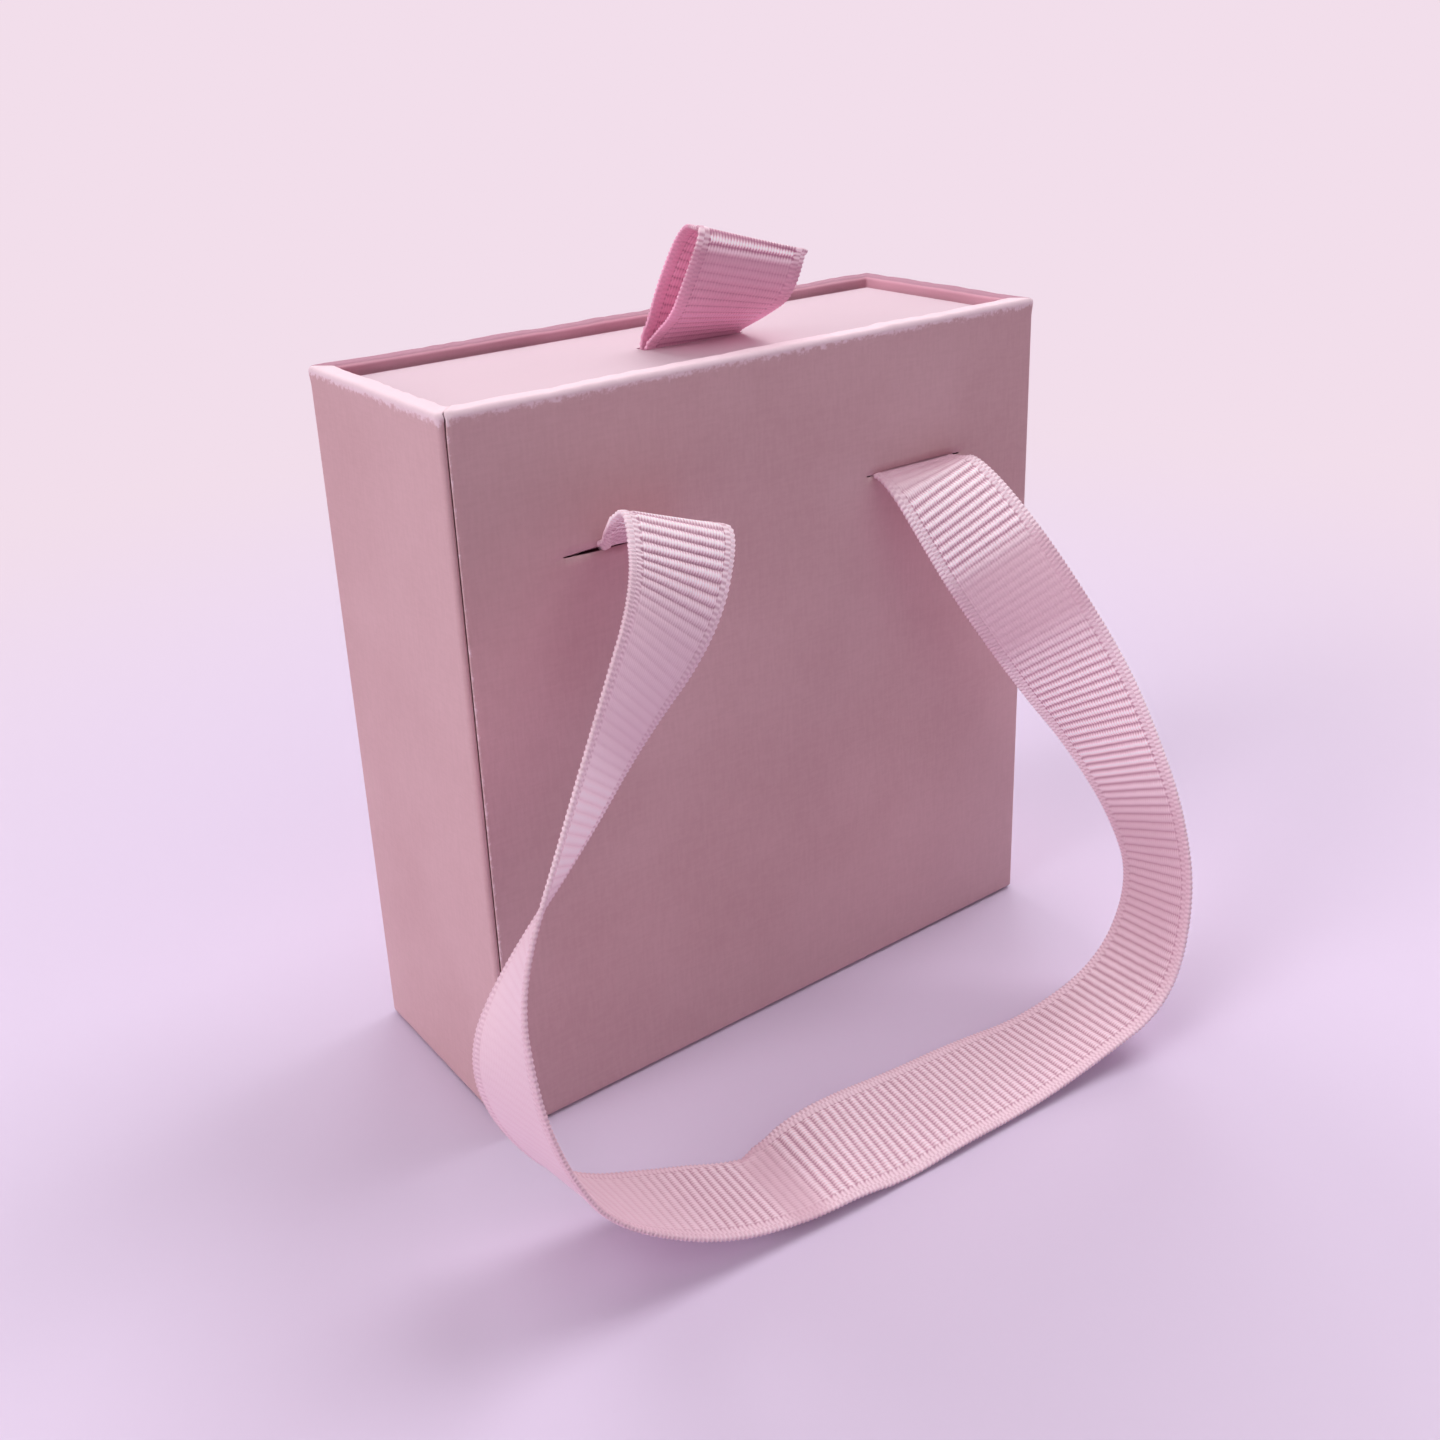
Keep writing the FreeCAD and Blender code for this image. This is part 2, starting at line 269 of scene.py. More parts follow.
def ribbon_finish(name, crown_light, groove_shade, crown_highlight, shade_and_glow_colour, glow):
    """Grosgrain: rib crowns painted pale and grooves painted deeper, a painted light and shade of the ribs;
    fine lengthwise threads over each rib and a plain woven edge. The piece's UV map is in ribbon widths: U
    along the ribbon, V across it. Where the painted light attribute is above 0 the crowns get a painted
    highlight, and below
    0 the cloth gets a painted deeper shade; both also glow by emission, painted light whose strength glow
    sets."""
    weave = Finish(name, Specular_IOR_Level=0.55, Emission_Strength=glow)
    here = weave.node("ShaderNodeUVMap", {"uv_map": "weave"})
    split = weave.node("ShaderNodeSeparateXYZ", sockets={0: here})
    across = Value(weave, split.socket.node.outputs[1])
    wobble = weave.noise(weave.node("ShaderNodeMapping", sockets={"Vector": here, "Scale": (3, 14, 1)}), 1.0)
    turns = split * (ribbon_width / rib_pitch) + (wobble - 0.5) * 0.16
    swell = (turns * math.pi).math("SINE").math("ABSOLUTE")
    rib = swell ** rib_round
    crest = swell ** crest_sharpness
    off_centre = (across - 0.5).math("ABSOLUTE")
    selvedge = off_centre.between(ribbed_half / ribbon_width, edge_half / ribbon_width)
    thread = (across * (math.tau * ribbon_width / warp_pitch)).math("SINE") * 0.5 + 0.5
    fuzz_place = weave.node("ShaderNodeMapping", sockets={"Vector": here, "Scale": (30, 90, 1)})
    fuzz = weave.noise(fuzz_place, 1.0, 3.0, 0.6)
    row = (off_centre - outer_row / ribbon_width).math("GREATER_THAN", 0) * math.pi
    stitch = (split * (math.tau * ribbon_width / (rib_pitch / 2)) + row).math("SINE") * 0.5 + 0.5
    from_holes = (off_centre - hole_line / ribbon_width).math("ABSOLUTE")
    seam_line = 1 - from_holes.between(hole_core / ribbon_width, hole_reach / ribbon_width)
    left = weave.attribute("relief_left")
    ribbed = 1 - (1 - rib) * left
    body_tone = ribbed * 0.62 + (thread - 0.5) * 0.34 * (0.35 + left * 0.65) + 0.1 + fuzz * 0.3
    edge_tone = 0.42 + stitch * 0.3 + fuzz * 0.35
    holes = seam_line * (0.2 + left * 0.8)
    tone = body_tone * (1 - selvedge) + edge_tone * selvedge - holes * (1 - stitch) * 0.35
    # Grooves painted darker as shade and crowns painted paler as light, over the ribs' real relief.
    colour = weave.mix(tone.between(0.0, 1.1), groove_shade, crown_light)
    # Painted light along the ribbon: above 0 a painted highlight on the rib crowns, below 0 a painted deeper
    # shade; both add emission, which is painted light.
    painted_light = weave.attribute("painted_light_amount")
    off_crest = (1 - crest) * left * (1 - selvedge)
    shown = tone.between(0.45, 0.9) * (1 - selvedge * 0.5) * (1 - off_crest * 0.75)
    lit_crown = painted_light.math("MAXIMUM", 0) * shown
    painted_shade = (painted_light * -1).math("MAXIMUM", 0) * tone.between(-0.3, 0.9)
    colour = weave.mix(painted_shade, weave.mix(lit_crown, colour, crown_highlight), shade_and_glow_colour)
    # The emission is painted light: the highlight colour on the lit crowns and the deep shade colour where
    # the cloth is painted deep.
    painted_glow = weave.mix(lit_crown, weave.mix(painted_shade, black, shade_and_glow_colour), crown_highlight)
    relief = thread * 0.5 * left * (1 - selvedge) + fuzz * 0.3 + stitch * selvedge * 0.5 - holes * 0.4
    rough = 0.52 - rib * (1 - selvedge) * 0.16 + fuzz * 0.1
    normal = weave.bump(relief, thread_depth)
    return weave.surface(Base_Color=colour, Roughness=rough, Normal=normal, Emission_Color=painted_glow)


sleeve_paper = paper_finish(
    "sleeve_paper",
    lit=(0.68, 0.42, 0.46, 1),
    deep=(0.6, 0.35, 0.385, 1),
    # The inner pair is painted shade and bounce: a dark pink for the back and right rim in shade, and a
    # deeper, more saturated pink on the wall's inner face for light bounced in the narrow gap.
    inner=((0.45, 0.2, 0.28, 1), (0.78, 0.4, 0.5, 1)),
)
lining_paper = paper_finish("lining_paper", lit=(0.52, 0.22, 0.31, 1), deep=(0.49, 0.2, 0.285, 1))
# The drawer's paper is the sleeve's pink paper painted paler and greyer: a painted sheen on the top panel,
# lit from behind.
drawer_paper_painted_sheen = paper_finish(
    "drawer_paper_painted_sheen",
    lit=(0.7, 0.505, 0.585, 1),
    deep=(0.675, 0.485, 0.565, 1),
    coarse=0.5,
)
label_paper = paper_finish("label_paper", lit=(0.66, 0.4, 0.44, 1), deep=(0.62, 0.375, 0.41, 1), coarse=0.6)
# The board's dark colour is painted shade for the seam and the slits.
board_painted_dark = board_finish()
# crown and groove are the ribs' painted light and shade, bright the painted highlight, rich the colour of the
# painted deep shade and its glow, and glow the strength of the emission, which is painted light.
handle_weave = ribbon_finish(
    "handle_grosgrain",
    crown_light=(0.93, 0.67, 0.768, 1),
    groove_shade=(0.56, 0.25, 0.37, 1),
    crown_highlight=(1.0, 0.83, 0.915, 1),
    shade_and_glow_colour=(0.5, 0.27, 0.355, 1),
    glow=0.24,
)
pull_weave = ribbon_finish(
    "pull_grosgrain",
    crown_light=(0.8, 0.42, 0.55, 1),
    groove_shade=(0.5, 0.15, 0.28, 1),
    crown_highlight=(1.0, 0.85, 0.92, 1),
    shade_and_glow_colour=(0.92, 0.38, 0.6, 1),
    glow=0.3,
)

# ---------------------------------------------------------------- mesh helpers


def grid_faces(rows, columns, wrap):
    """Four-sided faces of a grid of points, numbered row by row; wrap joins the last column to the
    first."""
    row, column = np.meshgrid(np.arange(rows - 1), np.arange(columns if wrap else columns - 1), indexing="ij")
    after = (column + 1) % columns
    start, below = row * columns, (row + 1) * columns
    return np.stack((start + column, start + after, below + after, below + column), -1).reshape(-1, 4)


def mesh_piece(name, points, faces, finish, maps=None, values=None):
    """An object from points in millimetres and lists of faces, with named UV maps and point attributes."""
    mesh = bpy.data.meshes.new(name)
    mesh.from_pydata((points * MM).tolist(), [], [f.tolist() for f in faces])
    mesh.polygons.foreach_set("use_smooth", np.ones(len(faces), bool))
    loops = np.empty(len(mesh.loops), np.int32)
    mesh.loops.foreach_get("vertex_index", loops)
    for title, flat in (maps or {}).items():
        layer = mesh.uv_layers.new(name=title)
        layer.data.foreach_set("uv", flat[loops].astype(np.float32).ravel())
    for title, amounts in (values or {}).items():
        layer = mesh.attributes.new(title, "FLOAT", "POINT")
        layer.data.foreach_set("value", amounts.astype(np.float32))
    mesh.materials.append(finish)
    mesh.update()
    made = bpy.data.objects.new(name, mesh)
    bpy.context.scene.collection.objects.link(made)
    return made


def step(values, low, high):
    """0 below low, 1 above high, smooth between; low may be the larger."""
    share = np.clip((values - low) / (high - low), 0, 1)
    return share * share * (3 - 2 * share)


# ---------------------------------------------------------------- ribbons

curve_steps = 96


def spline_points(route, name):
    """Points along the smooth NURBS line whose control points are the route's, in the route's unit."""
    curve = bpy.data.curves.new(name, "CURVE")
    curve.dimensions = "3D"
    curve.resolution_u = curve_steps
    spline = curve.splines.new("NURBS")
    spline.points.add(len(route) - 1)
    spline.points.foreach_set("co", np.column_stack([route, np.ones(len(route))]).ravel())
    spline.order_u = 3
    spline.use_endpoint_u = True
    holder = bpy.data.objects.new(name, curve)
    line = bpy.data.meshes.new_from_object(holder)
    found = np.empty(len(line.vertices) * 3, np.float32)
    line.vertices.foreach_get("co", found)
    bpy.data.objects.remove(holder)
    bpy.data.meshes.remove(line)
    return found.reshape(-1, 3).astype(float)


def unit(vectors):
    return vectors / np.linalg.norm(vectors, axis=-1, keepdims=True)


def ribbon_line(stations, name):
    """Places, width directions, face directions and distances along a ribbon, at even steps with
    steps_per_rib to a rib. Stations are (point, width direction) pairs; the middle and one edge each follow
    a NURBS line."""
    middle = np.array([place for place, _ in stations], float)
    across = unit(np.array([direction for _, direction in stations], float))
    centre = spline_points(middle * MM, name) / MM
    edge = spline_points((middle + across * half_ribbon) * MM, name + "_edge") / MM
    far = np.concatenate([[0], np.cumsum(np.linalg.norm(np.diff(centre, axis=0), axis=1))])
    length = far[-1]
    along = np.linspace(0, length, int(round(length / rib_pitch * steps_per_rib)) + 1)
    centre = np.column_stack([np.interp(along, far, centre[:, k]) for k in range(3)])
    edge = np.column_stack([np.interp(along, far, edge[:, k]) for k in range(3)])
    ahead = unit(np.gradient(centre, axis=0))
    side = edge - centre
    side = unit(side - ahead * np.sum(side * ahead, axis=1, keepdims=True))
    face = np.cross(side, ahead)
    return centre, side, face, along


# Across one half of a strip, from its edge inward, and across its ribbed body, in mm.
edge_stations = np.array((4.98, 4.86, 4.62, 4.4, 4.2, 4.05, 3.95, 3.8))
body_stations = np.linspace(-3.6, 3.6, 10)
edge_rise, loop_rise, lip_fall = 0.07, 0.07, 0.06
loops_between, lip_between = (4.05, 4.4), (4.62, 4.98)
loop_reach, loop_share = 0.16, 0.012
uneven_ribs = (0.82, 1.12)
pucker_rise, pucker_turn = 0.12, 4.2
flat_cloth = ((0, 1, 1, 0),)
not_pulled = ((0, 0, 0),)


def face_rises(w, loops, ribs, core):
    """How far a face stands off the strip's middle: core plus the ribs over the body, and a plain edge that
    rises in small loops and falls off at its lip."""
    off = np.abs(w)
    body = 1 - step(off, ribbed_half, edge_half)
    looped = edge_rise + loop_rise * loops * step(off, *loops_between) - lip_fall * step(off, *lip_between)
    return core + ribs[:, None] * body + looped * (1 - body)


def ribbon_points(line, front=0.18, back=0.09, core=0.1, seed=3, stretch=1.0,
                  worn=flat_cloth, pulled=not_pulled):
    """Points of a woven strip, one closed loop per row: across the ribbed face in w, and back across the
    other. A rib rises by front or back times |sin(pi s / pitch)| to the power rib_round, where s is the
    distance along, times its own random share. Worn gives, by distance, the share of the ribs that is left
    on each face and the painted light there: a painted highlight above 0 and a painted deeper shade below 0.
    Pulled gives, by distance, how far the first and the second edge are drawn in; the cloth puckers there."""
    centre, side, face, along = line
    w = np.concatenate([-edge_stations, body_stations, edge_stations[::-1]])
    turns = along / rib_pitch
    swing = np.random.default_rng(seed).uniform(*uneven_ribs, int(turns[-1]) + 2)
    rib = np.abs(np.sin(np.pi * turns)) ** rib_round * swing[turns.astype(int)]
    loops = (0.5 - 0.5 * np.cos(2 * np.pi * turns * 2))[:, None]
    far, *columns = np.array(worn, float).T
    left_front, left_back, painted_light = (np.interp(along, far, column) for column in columns)
    top = face_rises(w, loops, front * rib * left_front, core)
    low = face_rises(w, loops, back * rib * left_back, core)
    tip = np.zeros((len(along), 1))
    rise = np.concatenate([top, tip, -low[:, ::-1], tip], axis=1)
    offsets = np.concatenate([w, [0], w[::-1], [0]])
    across = np.tile(offsets, (len(along), 1)) * (1 + loop_share * (loops - 0.5))
    reach = (half_ribbon + loop_reach * (loops - 0.5))[:, 0]
    turn_right, turn_left = len(w), 2 * len(w) + 1
    across[:, turn_right], across[:, turn_left] = reach, -reach
    far, first, second = np.array(pulled, float).T
    draw_first = np.interp(along, far, first)[:, None] * step(across, 1.0, half_ribbon)
    draw_second = np.interp(along, far, second)[:, None] * step(across, -1.0, -half_ribbon)
    rise = rise + pucker_rise * (draw_first + draw_second) * np.sin(pucker_turn * across)
    across = across - draw_first + draw_second
    points = centre[:, None] + stretch * across[..., None] * side[:, None] + rise[..., None] * face[:, None]
    flat = np.stack([np.tile(along[:, None], (1, across.shape[1])), across + half_ribbon], -1) / ribbon_width
    left = np.repeat(np.stack([left_front, left_back], 1), len(w) + 1, axis=1)
    return points, flat, left, np.tile(painted_light[:, None], (1, across.shape[1]))


def ribbon_piece(name, lines, finish, **shape):
    """One object of one or more woven strips, their two cut ends closed."""
    points, maps, lefts, painted_lights, faces, count = [], [], [], [], [], 0
    for line in lines:
        grid, flat, left, painted_light = ribbon_points(line, **shape)
        rows, columns = grid.shape[:2]
        quads = grid_faces(rows, columns, True)
        ends = end_faces(rows, columns)
        points.append(grid.reshape(-1, 3))
        maps.append(flat.reshape(-1, 2))
        lefts.append(left.ravel())
        painted_lights.append(painted_light.ravel())
        faces += list(quads + count) + [end + count for end in ends]
        count += rows * columns
    values = {"relief_left": np.concatenate(lefts), "painted_light_amount": np.concatenate(painted_lights)}
    return mesh_piece(name, np.concatenate(points), faces, finish, {"weave": np.concatenate(maps)}, values)


def end_faces(rows, columns):
    """The faces that close a strip's first and last row, from the ribbed face's points to the other's."""
    half = columns // 2 - 1
    top = np.arange(half + 1)
    low = (columns - 2 - np.arange(half + 1)) % columns
    inner = np.stack([top[:-2], low[:-2], low[1:-1], top[1:-1]], -1)
    tip_right = np.array([top[-2], low[-2], half])
    tip_left = np.array([0, columns - 1, columns - 2])
    first = list(inner) + [tip_right, tip_left]
    last = (rows - 1) * columns
    return first + [face[::-1] + last for face in first]


# The handle's middle line from the left slit to the right: each control point, and the direction of the
# width there.
handle_route = (
    ((-15.8, -10.7, 50.5), (-1, 0, 0)),
    ((-15.8, -12.0, 50.5), (-1, -0.02, 0.07)),
    ((-15.5, -16.3, 53.1), (-0.98, 0.06, 0.21)),
    ((-15.4, -19.2, 54.3), (-0.92, 0.15, 0.36)),
    ((-18.1, -21.9, 48.6), (-0.80, -0.07, 0.60)),
    ((-24.6, -23.6, 41.9), (-0.59, -0.43, 0.68)),
    ((-30.3, -24.9, 34.5), (-0.57, -0.64, 0.51)),
    ((-36.6, -25.8, 26.5), (-0.36, -0.86, 0.37)),
    ((-38.9, -27.2, 19.9), (0.03, -0.99, 0.13)),
    ((-37.5, -27.8, 13.1), (0.11, -0.99, 0.08)),
    ((-33.5, -28.8, 6.5), (-0.10, -0.96, 0.27)),
    ((-25.1, -30.2, 2.6), (-0.10, -1.00, 0.02)),
    ((-17.5, -31.1, 0.7), (-0.11, -0.99, 0.09)),
    ((-12.8, -31.6, 1.7), (-0.09, -0.99, -0.09)),
    ((-8.3, -32.0, 1.4), (-0.08, -0.97, -0.22)),
    ((-2.4, -32.3, 1.3), (-0.04, -1.00, -0.09)),
    ((5.1, -32.6, 1.0), (-0.04, -1.00, -0.08)),
    ((13.8, -33.2, 1.1), (-0.12, -0.98, 0.15)),
    ((22.5, -34.5, 4.1), (-0.20, -0.97, 0.12)),
    ((26.6, -33.8, 12.2), (-0.28, -0.91, 0.30)),
    ((27.0, -30.9, 19.1), (-0.10, -0.90, 0.43)),
    ((25.5, -27.4, 26.1), (0.16, -0.88, 0.44)),
    ((23.1, -24.9, 31.9), (0.46, -0.72, 0.52)),
    ((19.6, -21.7, 39.2), (0.66, -0.51, 0.55)),
    ((16.1, -15.2, 49.3), (0.93, 0.00, 0.37)),
    ((15.8, -12.0, 50.4), (1.00, 0.08, -0.05)),
    ((15.8, -10.7, 50.5), (1, 0, 0)),
)

# Along the handle, in mm: how much rib is left on the upper and the under face, and the painted light:
# a painted highlight on the rib crowns above 0, a painted deeper shade with glow below 0.
handle_worn = (
    (0, 0.3, 0.3, -0.6),
    (4, 0.9, 0.9, -0.2),
    (7, 1, 1, 1),
    (12, 1, 1, 0.9),
    (15, 0.8, 0.8, 0.3),
    (18, 0.2, 0.3, -0.05),
    (26, 0.2, 0.3, 0),
    (31, 0.25, 0.2, 0.5),
    (36, 0.25, 0.1, 0.5),
    (40, 0.3, 0.06, -0.1),
    (62, 0.2, 0.06, -0.2),
    (70, 0.35, 0.4, 0),
    (76, 1, 0.8, 0.3),
    (80.5, 1, 0.8, 0.4),
    (82, 0.5, 0.5, -0.2),
    (84, 0.5, 0.5, -0.2),
    (85.5, 1, 0.8, 0.5),
    (100, 1, 0.8, 0.4),
    (122, 1, 0.8, 0.45),
    (130, 0.9, 0.8, 0),
    (138, 0.9, 0.8, -0.1),
    (145, 1, 0.8, 0.8),
    (154, 1, 0.8, 0.8),
    (158, 0.8, 0.8, 0.2),
    (160, 0.4, 0.8, -0.5),
    (166.5, 0.4, 0.8, -0.4),
    (169, 1, 0.8, 0.9),
    (175.5, 1, 0.8, 1),
    (178, 0.5, 0.3, -0.7),
)

# Along the handle, in mm: how far its first and its second edge are drawn in, at the left slit and at the
# crease on the floor.
handle_pulled = (
    (0, 2.5, 0),
    (2, 2.1, 0),
    (4, 1.1, 0),
    (7, 0, 0),
    (70, 0, 0),
    (77, 0, 0.3),
    (82, 0, 0.9),
    (83.5, 0, 0.25),
    (86, 0, 0),
)

handle_line = ribbon_line(handle_route, "handle_middle")
handle = ribbon_piece("handle_strap", [handle_line], handle_weave, worn=handle_worn, pulled=handle_pulled)


def tail_line(x, name):
    """A handle's glued end: from inside the slit it turns down the inner face of the front wall."""
    route = [(tail_start_y, slit_z)] + [(inner_face_y, z) for z in tail_heights]
    return ribbon_line([((x, y, z), (1, 0, 0)) for y, z in route], name)


tail_start_y = -11.0
tail_heights = (slit_z, 49.6, 44, 38.6)
pressed = {"front": 0.07, "back": 0.05, "core": 0.1}
tail_left = ribbon_piece("handle_tail_left", [tail_line(-slit_x, "tail_left")], handle_weave, **pressed)
tail_right = ribbon_piece("handle_tail_right", [tail_line(slit_x, "tail_right")], handle_weave, **pressed)

# The pull's middle line in the same way, its points taken from the middle of its slit on the drawer's end.
pull_route = tuple(
    ((x, pull_slit_y + y, panel_top + z), direction)
    for (x, y, z), direction in (
        ((0.0, -0.3, -0.6), (1, 0, 0)),
        ((0.0, -0.4, 0.2), (1, 0, 0)),
        ((0.1, -1.2, 0.9), (0.99, 0.06, -0.07)),
        ((0.4, -4.2, 2.8), (0.99, -0.01, -0.12)),
        ((0.6, -6.6, 5.3), (0.95, -0.19, -0.25)),
        ((1.4, -7.9, 9.4), (0.96, -0.12, -0.25)),
        ((1.6, -6.7, 9.0), (0.91, -0.27, -0.30)),
        ((2.1, -4.8, 8.9), (0.92, -0.23, -0.32)),
        ((1.9, -3.1, 7.5), (0.93, -0.14, -0.34)),
        ((1.1, -1.8, 4.8), (0.95, -0.06, -0.32)),
        ((0.2, 0.2, 1.4), (0.97, 0.12, -0.14)),
        ((0.0, 0.4, 0.4), (1, 0.03, 0)),
        ((0.0, 0.3, -0.6), (1, 0, 0)),
    )
)

# Along the pull, in mm: how much rib is left on its outer and its inner face, and the painted light: a
# painted highlight on the rib crowns above 0, a painted deeper shade with glow below 0.
pull_worn = (
    (0, 1, 1, -0.2),
    (1.8, 1, 1, -0.25),
    (3.2, 1, 1, -0.5),
    (5, 1, 1, -0.75),
    (8, 0.8, 1, -0.25),
    (11.2, 0.4, 0.8, 0),
    (12.2, 1, 0.8, 0.9),
    (13.8, 1, 0.8, 0.9),
    (15, 1, 0.8, -0.3),
    (20, 1, 1, -0.6),
    (26, 1, 1, -0.3),
)

pull_cloth = {"front": 0.12, "back": 0.1, "core": 0.07, "stretch": 1.04, "worn": pull_worn}
pull = ribbon_piece("pull_strap", [ribbon_line(pull_route, "pull_middle")], pull_weave, **pull_cloth)


def pull_tail_line(y_side, y_end, name):
    """One of the pull's glued ends: down through the drawer's slit and along the underside of the drawer's
    end board."""
    turn = (-1 if y_end < 0 else 1, 0, 0)
    stations = [((0, pull_slit_y + y_side, z), turn) for z in (panel_top - 0.3, panel_top - 1.9)]
    stations += [((0, y, panel_top - 2.0), turn) for y in (y_side * 2 + pull_slit_y, y_end)]
    return ribbon_line(stations, name)


pull_tails = [pull_tail_line(-0.3, -5.4, "pull_tail_front"), pull_tail_line(0.3, 6.4, "pull_tail_back")]
pull_root = ribbon_piece("pull_tails", pull_tails, pull_weave, **pressed)

# ---------------------------------------------------------------- sleeve cover

# Along the front wall, from the seam: the first stations make its raised lip, and the even ones begin at
# front_start.
lip_stations = (0, 0.12, 0.26, 0.45, 0.7, 1.1)
front_start = 1.6
slit_clear = 0.35
slit_steps, front_steps = 24, 60
arc_angles = np.linspace(0, 90, 9)[1:-1]

# Up the wall: distances above and below a slit, the counts of even rows, and stations over the rim and
# inside.
beside_slit = (0.9, 1.6)
slit_row_clear = 2.1
wall_steps, inside_steps = 58, 8
rim_stations = (0.6, 0.9, 1.2)
inside_start = 1.2

# The paper's small unevenness near the rim: height, wave length and random seed of each ripple.
rim_ripples = ((0.12, 9, 5), (0.09, 2.2, 8))
rim_reach = 1.6
# The seam's lip: its rise and width in mm, and how much paler it is painted, a painted highlight where it
# catches the light from the left.
lip_rise, lip_width, lip_painted_highlight = 0.17, 0.4, 0.45
rim_wear_reach = 0.5


def front_stations():
    """Where the points lie along the front wall: close together at the seam's lip and at both slits."""
    slit = np.linspace(-slit_half, slit_half, slit_steps)
    slits = np.round(np.concatenate([slit - slit_x, slit + slit_x]), 4)
    even = np.round(np.linspace(seam_x + front_start, half_x - corner_round, front_steps), 4)
    both = np.unique(np.concatenate([even, slits]))
    near = np.abs(np.abs(both) - slit_x) < slit_half + slit_clear
    return np.concatenate([seam_x + np.array(lip_stations), both[~near | np.isin(both, slits)]])


def round_box():
    """Stations once round the box in plan, from the seam and back to it. Each is the share (sx, sy) of the
    way from the middle to a corner's centre, and the outward direction (nx, ny)."""
    inner_x, inner_y = half_x - corner_round, half_y - corner_round
    front = front_stations() / inner_x
    right = ((1, -1), (1, 1), 0, inner_y)
    back = ((1, 1), (-1, 1), 90, inner_x)
    left = ((-1, 1), (-1, -1), 180, inner_y)
    sx, sy, angle = list(front), [-1] * len(front), [270] * len(front)
    for (ax, ay), (bx, by), toward, reach in (right, back, left):
        sx += [ax] * len(arc_angles)
        sy += [ay] * len(arc_angles)
        angle += list(toward - 90 + arc_angles)
        share = np.linspace(0, 1, int(2 * reach) + 2)
        sx += list(ax + (bx - ax) * share)
        sy += list(ay + (by - ay) * share)
        angle += [toward] * len(share)
    # The front left corner, and the short end of the front face that meets the seam.
    sx += [-1] * (len(arc_angles) + 1) + [(seam_x - seam_gap) / inner_x]
    sy += [-1] * (len(arc_angles) + 2)
    angle += list(180 + arc_angles) + [270, 270]
    turn = np.radians(angle)
    return np.array(sx, float), np.array(sy, float), np.cos(turn), np.sin(turn)


def bend_rows(depth, height, start):
    """A quarter bend of the paper about (depth, height): a point is the centre plus rim_round times the
    outward direction (cos a, sin a), with a falling 90 degrees from start."""
    outward = [(math.cos(a), math.sin(a)) for a in np.radians(start - np.linspace(0, 90, 6))]
    return [(depth + rim_round * c, height + rim_round * s, c, s) for c, s in outward]


def up_the_wall():
    """Stations along the paper from its edge under the base, up the wall, over the rim and down inside.
    Each is the depth in from the outer face, the height, and the outward direction (toward the middle,
    up)."""
    low, rim = label_thick, sleeve_top
    even = np.linspace(low + rim_round, rim - rim_round, wall_steps)[1:-1]
    from_slit = [side * off for side in (-1, 1) for off in (slit_open, *beside_slit)]
    clear = [z for z in even if abs(z - slit_z) > slit_row_clear]
    walls = sorted(clear + [slit_z + off for off in from_slit])
    rows = [(depth, low, 0.0, -1.0) for depth in np.linspace(turn_under, rim_round, 6)[:-1]]
    rows += bend_rows(rim_round, low + rim_round, 270)
    rows += [(0.0, z, -1.0, 0.0) for z in walls]
    rows += bend_rows(rim_round, rim - rim_round, 180)
    rows += [(depth, rim, 0.0, 1.0) for depth in rim_stations]
    rows += bend_rows(wall_thick - rim_round, rim - rim_round, 90)
    rows += [(wall_thick, z, 1.0, 0.0) for z in np.linspace(rim - inside_start, rim - turn_in, inside_steps)]
    return np.array(rows).T


def ripple(where, wave, seed, count=7):
    """A smooth random line: a sum of sines whose lengths spread about wave, from 0 to 1."""
    rng = np.random.default_rng(seed)
    lengths = wave * rng.uniform(0.55, 1.8, count)
    shifts = rng.uniform(0, math.tau, count)
    total = np.sum(np.sin(math.tau * where[..., None] / lengths + shifts), axis=-1)
    return np.clip(0.5 + total / (1.3 * count), 0, 1)


